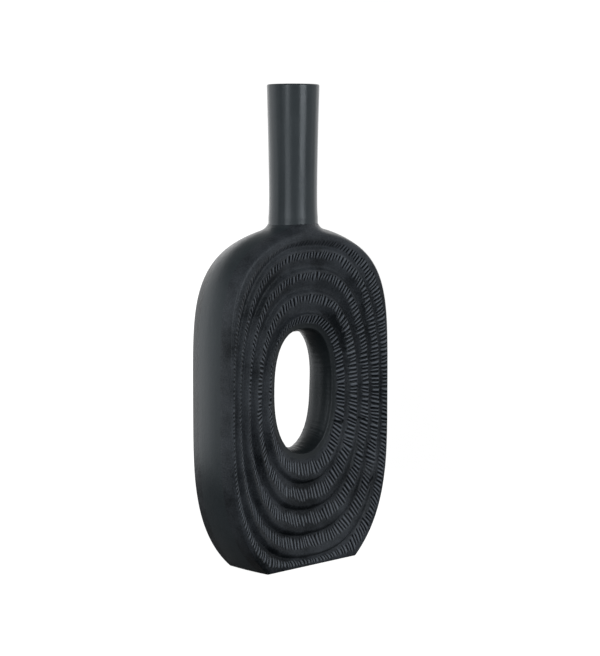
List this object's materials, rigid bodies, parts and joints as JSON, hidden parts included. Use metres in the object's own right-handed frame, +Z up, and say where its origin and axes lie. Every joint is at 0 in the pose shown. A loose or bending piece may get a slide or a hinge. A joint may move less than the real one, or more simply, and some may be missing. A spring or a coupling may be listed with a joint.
{
  "type": "clay bottle vase",
  "caption": "Tall flat ring-bodied black clay bottle vase with an oval hole through the body, notched concentric rings on both faces and a plain round neck.",
  "frame": {"origin": "centre of the base, on the surface that the vase stands on", "axes": "+Z up along the neck, X across the width of the body, Y through the hole, with the front face towards -Y"},
  "size_m": [0.189, 0.0484, 0.4],
  "materials": {
    "black_clay": "unglazed reduction-fired black clay, matt where it is notched",
    "burnished_clay": "burnished satin black clay",
    "inner_clay": "rough unburnished dark clay"
  },
  "bodies": {
    "root": {"base_slab": "burnished_clay", "left_side_strip": "burnished_clay", "right_side_strip": "burnished_clay", "left_shoulder_strip": "burnished_clay", "right_shoulder_strip": "burnished_clay", "hole_lining": "burnished_clay", "front_ring_1": "black_clay", "front_ring_2": "black_clay", "front_ring_3": "black_clay", "front_ring_4": "black_clay", "front_ring_5": "black_clay", "back_ring_1": "black_clay", "back_ring_2": "black_clay", "back_ring_3": "black_clay", "back_ring_4": "black_clay", "back_ring_5": "black_clay", "neck_foot_coil": "burnished_clay", "neck_tube": "burnished_clay", "front_seam_coil": "inner_clay", "back_seam_coil": "inner_clay", "front_hole_seam_coil": "inner_clay", "back_hole_seam_coil": "inner_clay"}
  },
  "joints": []
}
